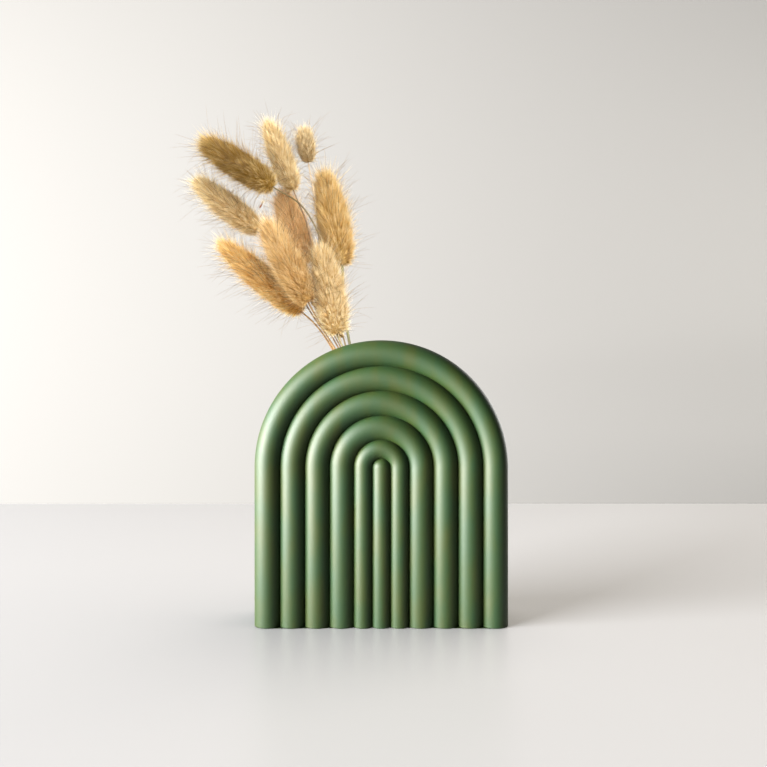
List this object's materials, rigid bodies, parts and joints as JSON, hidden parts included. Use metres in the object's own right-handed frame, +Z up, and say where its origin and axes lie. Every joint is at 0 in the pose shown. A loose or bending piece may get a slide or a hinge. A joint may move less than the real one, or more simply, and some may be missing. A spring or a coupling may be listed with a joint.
{
  "type": "dried grass bouquet in arch vase",
  "caption": "Dried bunny-tail grass heads on thin stems, standing in a slot-topped arch vase of concentric round ribs.",
  "frame": {"origin": "middle of the vase's flat base, on the surface that it stands on", "axes": "+Z up out of the vase's slot, +X to the right across the arch, -Y out of the ribbed front; the bouquet leans towards -X"},
  "size_m": [0.1755, 0.0455, 0.2805],
  "materials": {
    "vase_plastic": "matt 3-D printed plastic with fine layer lines and a faint blue and olive mottle",
    "straw": "dry grass straw, satin, brown at the head and paler below",
    "head_1_hair": "soft dry plant hair, olive brown, paler at the tips",
    "head_2_hair": "soft dry plant hair, golden tan, paler at the tips",
    "head_3_hair": "soft dry plant hair, orange brown, paler at the tips",
    "head_4_hair": "soft dry plant hair, pale cream, paler at the tips",
    "head_5_hair": "soft dry plant hair, greyish beige, paler at the tips",
    "head_6_hair": "soft dry plant hair, golden, paler at the tips",
    "head_7_hair": "soft dry plant hair, pinkish orange brown, paler at the tips",
    "head_8_hair": "soft dry plant hair, tan, paler at the tips",
    "head_9_hair": "soft dry plant hair, pale gold, paler at the tips",
    "seed_husk": "dry red-brown seed husk with pale hairs"
  },
  "bodies": {
    "root": {"vase_body": "vase_plastic", "stem_1": "straw", "stem_2": "straw", "stem_3": "straw", "stem_4": "straw", "stem_5": "straw", "stem_6": "straw", "stem_7": "straw", "stem_8": "straw", "stem_9": "straw", "seed_head_1": "head_1_hair", "seed_head_2": "head_2_hair", "seed_head_3": "head_3_hair", "seed_head_4": "head_4_hair", "seed_head_5": "head_5_hair", "seed_head_6": "head_6_hair", "seed_head_7": "head_7_hair", "seed_head_8": "head_8_hair", "seed_head_9": "head_9_hair", "loose_floret": "seed_husk"}
  },
  "joints": []
}
